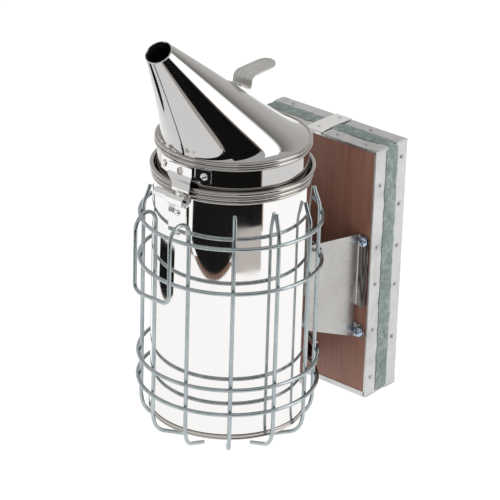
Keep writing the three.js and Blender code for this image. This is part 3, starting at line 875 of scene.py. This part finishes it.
def bracket_lugs(label, side, low, high):
    """A wing's two lugs, each with its screw hole and its rounded bend from the wing."""
    reach, face, top = high[0], high[1], high[2] - 3
    fold = reach - LUG_REACH + 0.8
    gap_low, gap_high = LUG_GAP
    upper = [(fold, top), *arc((reach - 3.4, top - 3.4), 3.4, 90, 0, 8),
             *arc((reach - 3.4, gap_high + 3.4), 3.4, 0, -70, 8),
             (fold + 2.6, gap_high - 0.3), (fold, gap_high + 0.6)]
    lower = [(fold, low[2]), *arc((reach - 4.0, low[2] + 4.0), 4.0, -80, 60, 12),
             *arc((fold + 1.2, gap_low + 1.5), 2.4, -30, -150, 6)]
    bend = mirrored(arc((fold, face - 1.6), 1.2, 180, 90, 8), side)
    for name, shape in (("upper", upper), ("lower", lower)):
        hole = circle(*screw_centre(f"{name}_{label}"), 1.8, 20)
        lug = plate([mirrored(shape, side), hole], BRACKET_SHEET, plane_xz(face - BRACKET_SHEET / 2), 0.1)
        add_object(f"bracket_lug_{name}_{label}", lug, LUG_STEEL, BODY)
    for name, z0, z1 in (("upper", gap_high + 0.6, top), ("lower", low[2], gap_low)):
        add_object(f"bracket_bend_{name}_{label}", bend_strip(bend, z0, z1), BRACKET_STEEL, BODY)


def screw_centre(name):
    x, _, z = middle(f"bracket_screw_{name}")
    return x, z


def bend_strip(line, z0, z1):
    """A rounded bend in plan, between two heights."""
    rings = []
    for i, (x, y) in enumerate(line):
        ahead, behind = line[min(i + 1, len(line) - 1)], line[max(i - 1, 0)]
        along = Vector((ahead[0] - behind[0], ahead[1] - behind[1])).normalized()
        nx, ny = -along.y * BRACKET_SHEET / 2, along.x * BRACKET_SHEET / 2
        rings.append([at(x + k * nx, y + k * ny, z) for k, z in ((1, z0), (-1, z0), (-1, z1), (1, z1))])
    return ring_skin(rings)


def bracket_screws():
    """Pan-head screws with a cross recess."""
    profile = [(0.02, 9.5), (0.8, 9.0), (1.45, 7.6), (1.45, 0.1), (3.4, 0.0), (3.5, -0.3), (3.45, -0.9),
               (3.1, -1.6), (2.3, -2.1), (1.2, -2.3), (0.02, -2.35)]
    for name, turn in SCREW_TURNS.items():
        x, z = screw_centre(name)
        under_head = local_box(f"bracket_screw_{name}")[0][1] + 2.2
        rings = [[at(a, under_head + depth, b) for a, b in circle(x, z, reach)] for reach, depth in profile]
        mesh = ring_skin(rings)
        piece = add_object(f"pan_screw_{name}", mesh, BLUED, BODY, f"bracket_screw_{name}")
        for quarter in (0, 90):
            cut(piece, recess_bar(x, z, under_head + profile[-1][1], radians(turn + quarter)))


def recess_bar(x, z, front, turn):
    """One bar of a cross recess, tapered towards its bottom."""
    right, up = cos(turn), sin(turn)
    rings = []
    for depth, long, wide in ((-1.0, 2.0, 0.5), (0.2, 1.9, 0.45), (1.5, 0.9, 0.25)):
        corners = rectangle(-long, -wide, long, wide)
        rings.append([at(x + a * right - b * up, front + depth, z + a * up + b * right) for a, b in corners])
    return ring_skin(rings)


# ---- bellows ----
def board_piece(name, node, body, holes):
    low, high = local_box(node)
    outline = rectangle(low[0], low[2], high[0], high[2])
    mesh = plate([outline, *holes], high[1] - low[1], plane_xz((low[1] + high[1]) / 2), 0.4)
    add_object(name, mesh, WOOD, body, node)


def boards():
    """The front board has a hole for the air and four for the screws; the rear one is plain."""
    level, radius = tube_bore()
    bores = [circle(*screw_centre(name), 1.6, 16) for name in SCREW_TURNS]
    board_piece("front_panel", "front_board", BODY, [circle(0, level, radius, 40), *bores])
    board_piece("rear_panel", "back_board", REAR, [])


def tin_edge(name, node, body, side, lip_width, seed):
    """A tin strip on one edge of a board, folded onto its outer face by a narrow lip, and a little wavy."""
    low, high = local_box(node)
    front = node.startswith("front")
    depth = high[1] - low[1]
    outer_y, inner_y, out = (low[1], high[1], -1) if front else (high[1], low[1], 1)
    top_or_bottom = side in ("top", "bottom")
    lo, hi = (low[0], high[0]) if top_or_bottom else (low[2] - 0.25, high[2] + 0.25)
    surface, inward = {"top": (high[2], -1), "bottom": (low[2], 1),
                       "left": (low[0], 1), "right": (high[0], -1)}[side]
    section = fillet([(inner_y, 0.0), (outer_y + out * 0.35, 0.0), (outer_y + out * 0.35, lip_width)], 0.9, 5)
    steps = 90
    rings = []
    for i in range(steps + 1):
        share = i / steps
        run = lo + (hi - lo) * share
        wave = 0.16 * noise.noise((run * 0.05, seed, 0.0))
        wave += 0.07 * noise.noise((run * 0.23, seed, 5.0))
        ring = []
        for layer in (0.0, 0.45):
            line = []
            for k, (y, inset) in enumerate(section):
                along = abs(y - outer_y) / depth
                lift = wave * (0.35 + along)
                drop = inset + (layer if k < len(section) - 4 else 0.0)
                shift = -out * layer if k >= len(section) - 6 else 0.0
                level = surface + inward * (drop - lift)
                line.append((run, y + shift, level) if top_or_bottom else (level, y + shift, run))
            ring.extend(line if layer == 0 else line[::-1])
        rings.append([at(*p) for p in ring])
    add_object(name, ring_skin(rings), TIN, body, node, sharp=50)


def tin_edges():
    lips = {"top": 2.1, "bottom": 3.8, "left": 1.4, "right": 1.4}
    for which, body in BOARDS:
        for k, (side, lip) in enumerate(lips.items()):
            seed = 7.3 * k + (3.1 if which == "back" else 0)
            tin_edge(f"{which}_tin_{side}", f"{which}_trim_{side}", body, side, lip, seed)


def trim_levels(which):
    """The levels of a board's top strip and bottom strip, on their outer faces."""
    return local_box(f"{which}_trim_top")[1][2], local_box(f"{which}_trim_bottom")[0][2]


def corner_tabs():
    """The side strips' ends, folded over the top and bottom strips as small round-ended tabs."""
    for which, body in BOARDS:
        low, high = local_box(f"{which}_trim_right")
        top, bottom = trim_levels(which)
        y0, y1 = low[1] + 0.2, high[1] - 0.2
        edge = high[0]
        tip = edge - (7.5 if which == "front" else 5.5)
        start = (edge, (y0 + y1) / 2)
        shape = fillet([start, (edge, y0), (tip, y0 + 0.6), (tip, y1 - 0.6), (edge, y1), start], 3.2, 6)[:-1]
        for label, side in SIDES:
            for end, z in (("top", top + 0.12), ("bottom", bottom - 0.12)):
                mesh = plate([mirrored(shape, side)], 0.42, Matrix.Translation(at(0, 0, z)))
                add_object(f"tin_tab_{which}_{end}_{label}", mesh, TIN, body)


def tin_nails():
    """Small round nails through the strips, as shares of each edge's length."""
    side_places = {"front": (0.07, 0.27, 0.46, 0.61, 0.86), "back": (0.2, 0.42, 0.58, 0.75, 0.94)}
    top_places = {"front": (0.11, 0.65, 0.88), "back": (0.12, 0.75)}
    for which, body in BOARDS:
        low, high = local_box(f"{which}_trim_right")
        left = local_box(f"{which}_trim_left")[0][0]
        top, bottom = trim_levels(which)
        y = (low[1] + high[1]) / 2 + (-0.6 if which == "front" else 0.8)
        for i, share in enumerate(side_places[which]):
            z = low[2] + (high[2] - low[2]) * share
            dome(f"nail_{which}_right_{i}", at(high[0], y, z), (1, 0, 0), 1.6, 1.1, NAIL, body)
            dome(f"nail_{which}_left_{i}", at(left, y, z + 2), (-1, 0, 0), 1.6, 1.1, NAIL, body)
        for i, share in enumerate(top_places[which]):
            x = left + (high[0] - left) * share
            dome(f"nail_{which}_top_{i}", at(x, y, top), (0, 0, 1), 1.5, 0.9, NAIL, body)
            dome(f"nail_{which}_bottom_{i}", at(x, y, bottom), (0, 0, -1), 1.5, 0.7, NAIL, body)


def sleeve_outline():
    """The sleeve's girth seen from the front: a rounded rectangle just outside the tin strips."""
    half = local_box("front_trim_right")[1][0] + 0.25
    top, bottom = trim_levels("front")
    corner = 3.4
    right, up, down = half - corner, top + 0.15 - corner, bottom - 0.25 + corner
    outline = []
    for centre, start in (((right, up), 0), ((-right, up), 90), ((-right, down), 180), ((right, down), 270)):
        outline.extend(arc(centre, corner, start, start + 90, 10))
    return points_at(np.linspace(0, 1, 900, endpoint=False), [*outline, outline[0]])


def leather_sleeve():
    """One bellied sleeve round the gap between the boards, its edges puckered over the tin strips."""
    y0, y1 = FRONT_HIGH[1] - 1.9, BACK_LOW[1] + 1.9
    outline = sleeve_outline()
    across = 34
    rings = []
    for k in range(across + 1):
        share = k / across
        y = y0 + (y1 - y0) * share
        belly = sin(pi * share) ** 0.6
        ring = []
        for i, (x, z) in enumerate(outline):
            before, after = outline[i - 1], outline[(i + 1) % len(outline)]
            nx, nz = after[1] - before[1], before[0] - after[0]
            size = hypot(nx, nz)
            pucker = 0.9 * noise.noise((x * 0.16, z * 0.16, 4.0 + 3 * share))
            fold = noise.noise((x * 0.3, z * 0.3, y * 0.4))
            crease = abs(noise.noise((x * 0.75, z * 0.75, y * 0.8 + 9)))
            reach = belly * (0.75 + 0.35 * fold - 0.8 * crease)
            ring.append(at(x + nx / size * reach, y + pucker, z + nz / size * reach))
        rings.append(ring)
    tucked = [[at(*(local(p) * np.array([0.93, 1, 0.955]) + np.array([0, dy, 3.6]))) for p in ring]
              for ring, dy in ((rings[-1], -2.4), (rings[0], 2.4))]
    mesh = ring_skin(rings + tucked, loop=True)
    piece = add_object("leather_sleeve", mesh, LEATHER, None, "bellows_leather", sharp=180)
    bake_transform(piece)


def spring():
    """The coil that pushes the boards apart."""
    low, high = local_box("bellows_spring")
    radius, level, wire = (high[0] - low[0]) / 2 - 0.8, (low[2] + high[2]) / 2, 0.8
    path = []
    for i in range(201):
        angle = 2 * pi * 2.5 * i / 200
        y = low[1] + wire + (high[1] - low[1] - 2 * wire) * i / 200
        path.append(at(radius * cos(angle), y, level + radius * sin(angle)))
    mesh = tube(path, wire, 12)
    piece = add_object("return_spring", mesh, ZINC, None, "bellows_spring", sharp=180)
    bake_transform(piece)


def top_strap():
    """The flat band over both boards, a little arched, with a short fold onto the front face."""
    half, thickness = 6.5, 0.7
    face = STRAP_LOW[1] + thickness / 2
    over = STRAP_HIGH[2] - thickness / 2
    *folded, start, end = fillet([(face, STRAP_LOW[2]), (face, over), (STRAP_HIGH[1], over)], 1.2, 6)
    arched = []
    for i in range(1, 13):
        share = i / 12
        arched.append((start[0] + (end[0] - start[0]) * share, over + 0.35 * sin(pi * share)))
    mesh = ribbon([*folded, start, *arched], lambda share: (-half, half), thickness, 6)
    soften(add_object("hinge_band", mesh, STEEL, BODY, "top_strap"), 0.15)
    for i, y in enumerate((face + 6, STRAP_HIGH[1] - 5)):
        dome(f"band_nail_{i}", at(0, y, STRAP_HIGH[2] - 0.1), (0, 0, 1), 1.3, 0.7, NAIL, BODY)


def finish_cad_nodes():
    """The pieces kept as the frame made them, in their own finishes."""
    for node, look in (("fire_grate", SOOT_AND_SHADE), ("air_inlet_tube", TIN)):
        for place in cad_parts[node].material_slots:
            place.material = look


# ---- studio ----
def studio_floor():
    """A floor that glows a little, so that it stays white under the smoker."""
    mesh = make_mesh([(-6, -6, 0), (6, -6, 0), (6, 6, 0), (-6, 6, 0)], [(0, 1, 2, 3)])
    floor = link_object("floor", mesh)
    floor.location.z = -0.0003
    look = Look("floor_white", (0.16, 0.16, 0.16), 0.0, 0.9)
    fill(look.shader, Specular_IOR_Level=0, Emission_Color=(1, 1, 1, 1), Emission_Strength=0.98)
    mesh.materials.append(look.material)


def glow(name):
    """An even light that takes its colour from the card's own corners; black makes it a flag."""
    look = Look(name, (0, 0, 0), 0.0, 1)
    tone = look.node("Attribute")
    tone.attribute_name = "tone"
    fill(look.shader, Specular_IOR_Level=0, Emission_Strength=1, Emission_Color=tone.outputs["Color"])
    return look.material


def card(name, bearings, near, far, first, last, bow=0.0):
    """A curved card that shows only in reflections.

    bearings are degrees from the camera's side, positive to its right. The card spans from near to
    far, each a (reach from the can's axis, height) in metres, and its colour runs from first to last
    along the bearings. bow moves its near edge out at both ends.
    """
    steps = 32
    points, tones = [], []
    for i in range(steps + 1):
        share = i / steps
        angle = radians(VIEW_AZIMUTH + bearings[0] + (bearings[1] - bearings[0]) * share)
        out = bow * (2 * share - 1) ** 2
        for reach, height in ((near[0] + out, near[1]), far):
            points.append((reach * sin(angle), AXIS_Y - reach * cos(angle), height))
            tones.append([a + (b - a) * share for a, b in zip(first, last)] + [1.0])
    faces = [(2 * i, 2 * i + 1, 2 * i + 3, 2 * i + 2) for i in range(steps)]
    mesh = bpy.data.meshes.new(name)
    mesh.from_pydata(points, [], faces)
    mesh.update()
    colours = mesh.color_attributes.new("tone", "FLOAT_COLOR", "POINT")
    for spot, tone in zip(colours.data, tones):
        spot.color = tone
    piece = link_object(name, mesh)
    mesh.materials.append(glow(name))
    piece.visible_camera = piece.visible_shadow = piece.visible_diffuse = False


def studio_cards():
    """Black flags on the floor and beyond it, a tall softbox on the right, and greys round the back."""
    lying = 0.0006
    black, brown, warm = (0.009, 0.0088, 0.009), (0.20, 0.125, 0.09), (0.55, 0.51, 0.48)
    card("card_front_edge", (-55, 9), (0.314, lying), (0.35, lying), brown, brown, bow=0.05)
    card("card_front", (-54, 8), (0.324, 2 * lying), (2.4, 2 * lying), black, black, bow=0.05)
    card("card_front_right_near", (8, 42), (0.33, lying), (0.41, lying), warm, warm)
    card("card_front_right_mid", (8, 42), (0.41, lying), (2.4, lying), black, black)
    card("card_front_right_edge", (42, 44), (0.40, lying), (0.75, lying), brown, warm)
    card("card_front_right_far", (42, 66), (0.75, lying), (2.4, lying), black, black)
    card("card_left_small", (-116, -82), (0.245, lying), (0.345, lying), black, black, bow=0.02)
    dusk, haze = (0.30, 0.30, 0.31), (0.45, 0.45, 0.45)
    card("card_left_behind", (-180, -150), (0.10, lying), (0.34, lying), dusk, haze)
    card("card_right_behind", (150, 180), (0.10, lying), (0.34, lying), haze, dusk)
    card("card_gap", (8, 64), (2.0, 0.0), (2.0, 1.05), black, black)
    card("card_gap_edge", (64, 68), (2.0, 0.0), (2.0, 1.2), brown, warm)
    card("card_softbox", (68, 101), (1.9, 0.0), (1.7, 2.0), (2.2, 2.2, 2.2), (2.0, 2.0, 2.0))
    tones = ((1.6, 1.6, 1.6), (0.25, 0.25, 0.24), (0.42, 0.41, 0.40), (0.68, 0.67, 0.66), (0.74, 0.73, 0.72))
    wall = (("fall", 101, 107, 0.15), ("dim", 107, 118, 0.15), ("rise", 118, 140, 0.1),
            ("grey", 140, 180, 0.0))
    for (name, start, end, foot), first, last in zip(wall, tones, tones[1:]):
        card(f"card_right_{name}", (start, end), (1.9, foot), (1.9, 1.9), first, last)


def studio_light():
    """A white surround, a little brighter to the eye than in reflections, and one soft key light."""
    scene = bpy.context.scene
    scene.view_settings.view_transform = "Standard"
    world = bpy.data.worlds.new("studio")
    scene.world = world
    world.use_nodes = True
    nodes = world.node_tree.nodes
    path = nodes.new("ShaderNodeLightPath")
    tone = nodes.new("ShaderNodeMapRange")
    fill(tone, To_Min=0.66, To_Max=1.05, Value=path.outputs["Is Camera Ray"])
    fill(nodes["Background"], Color=(1, 1, 1, 1), Strength=tone.outputs["Result"])
    key = bpy.data.lights.new("key", "AREA")
    key.shape = "RECTANGLE"
    key.size, key.size_y = 0.9, 1.1
    key.energy = 14
    lamp = link_object("key", key)
    angle = radians(VIEW_AZIMUTH + 62)
    lamp.location = (1.5 * sin(angle), -1.5 * cos(angle), 1.25)
    aim = Vector((0, 0, 0.13)) - lamp.location
    lamp.rotation_euler = aim.to_track_quat("-Z", "Y").to_euler()
    lamp.visible_glossy = False


def camera():
    """The photograph's view: a long lens from the front right, looking down a little."""
    azimuth, elevation, roll = (radians(a) for a in (VIEW_AZIMUTH, VIEW_ELEVATION, VIEW_ROLL))
    data = bpy.data.cameras.new("camera")
    data.lens = VIEW_LENS
    data.sensor_width = 36
    piece = link_object("camera", data)
    back = Vector((sin(azimuth) * cos(elevation), -cos(azimuth) * cos(elevation),
                   sin(elevation)))
    piece.location = Vector(VIEW_TARGET) + back * VIEW_DISTANCE
    aim = (-back).to_track_quat("-Z", "Y").to_matrix().to_4x4()
    piece.rotation_euler = (aim @ Matrix.Rotation(roll, 4, "Z")).to_euler()
    bpy.context.scene.camera = piece


camera()
studio_light()
studio_cards()
studio_floor()

can_shell()
can_pan()
lid_collar()
lid_spout()
thumb_tab()
lid_strap()
lid_tongue()
can_leaf()
hinge_pin()
hinge_rivets()
guard_uprights()
guard_rings()
guard_hook()
bracket()
bracket_screws()
boards()
tin_edges()
corner_tabs()
tin_nails()
leather_sleeve()
spring()
top_strap()
finish_cad_nodes()
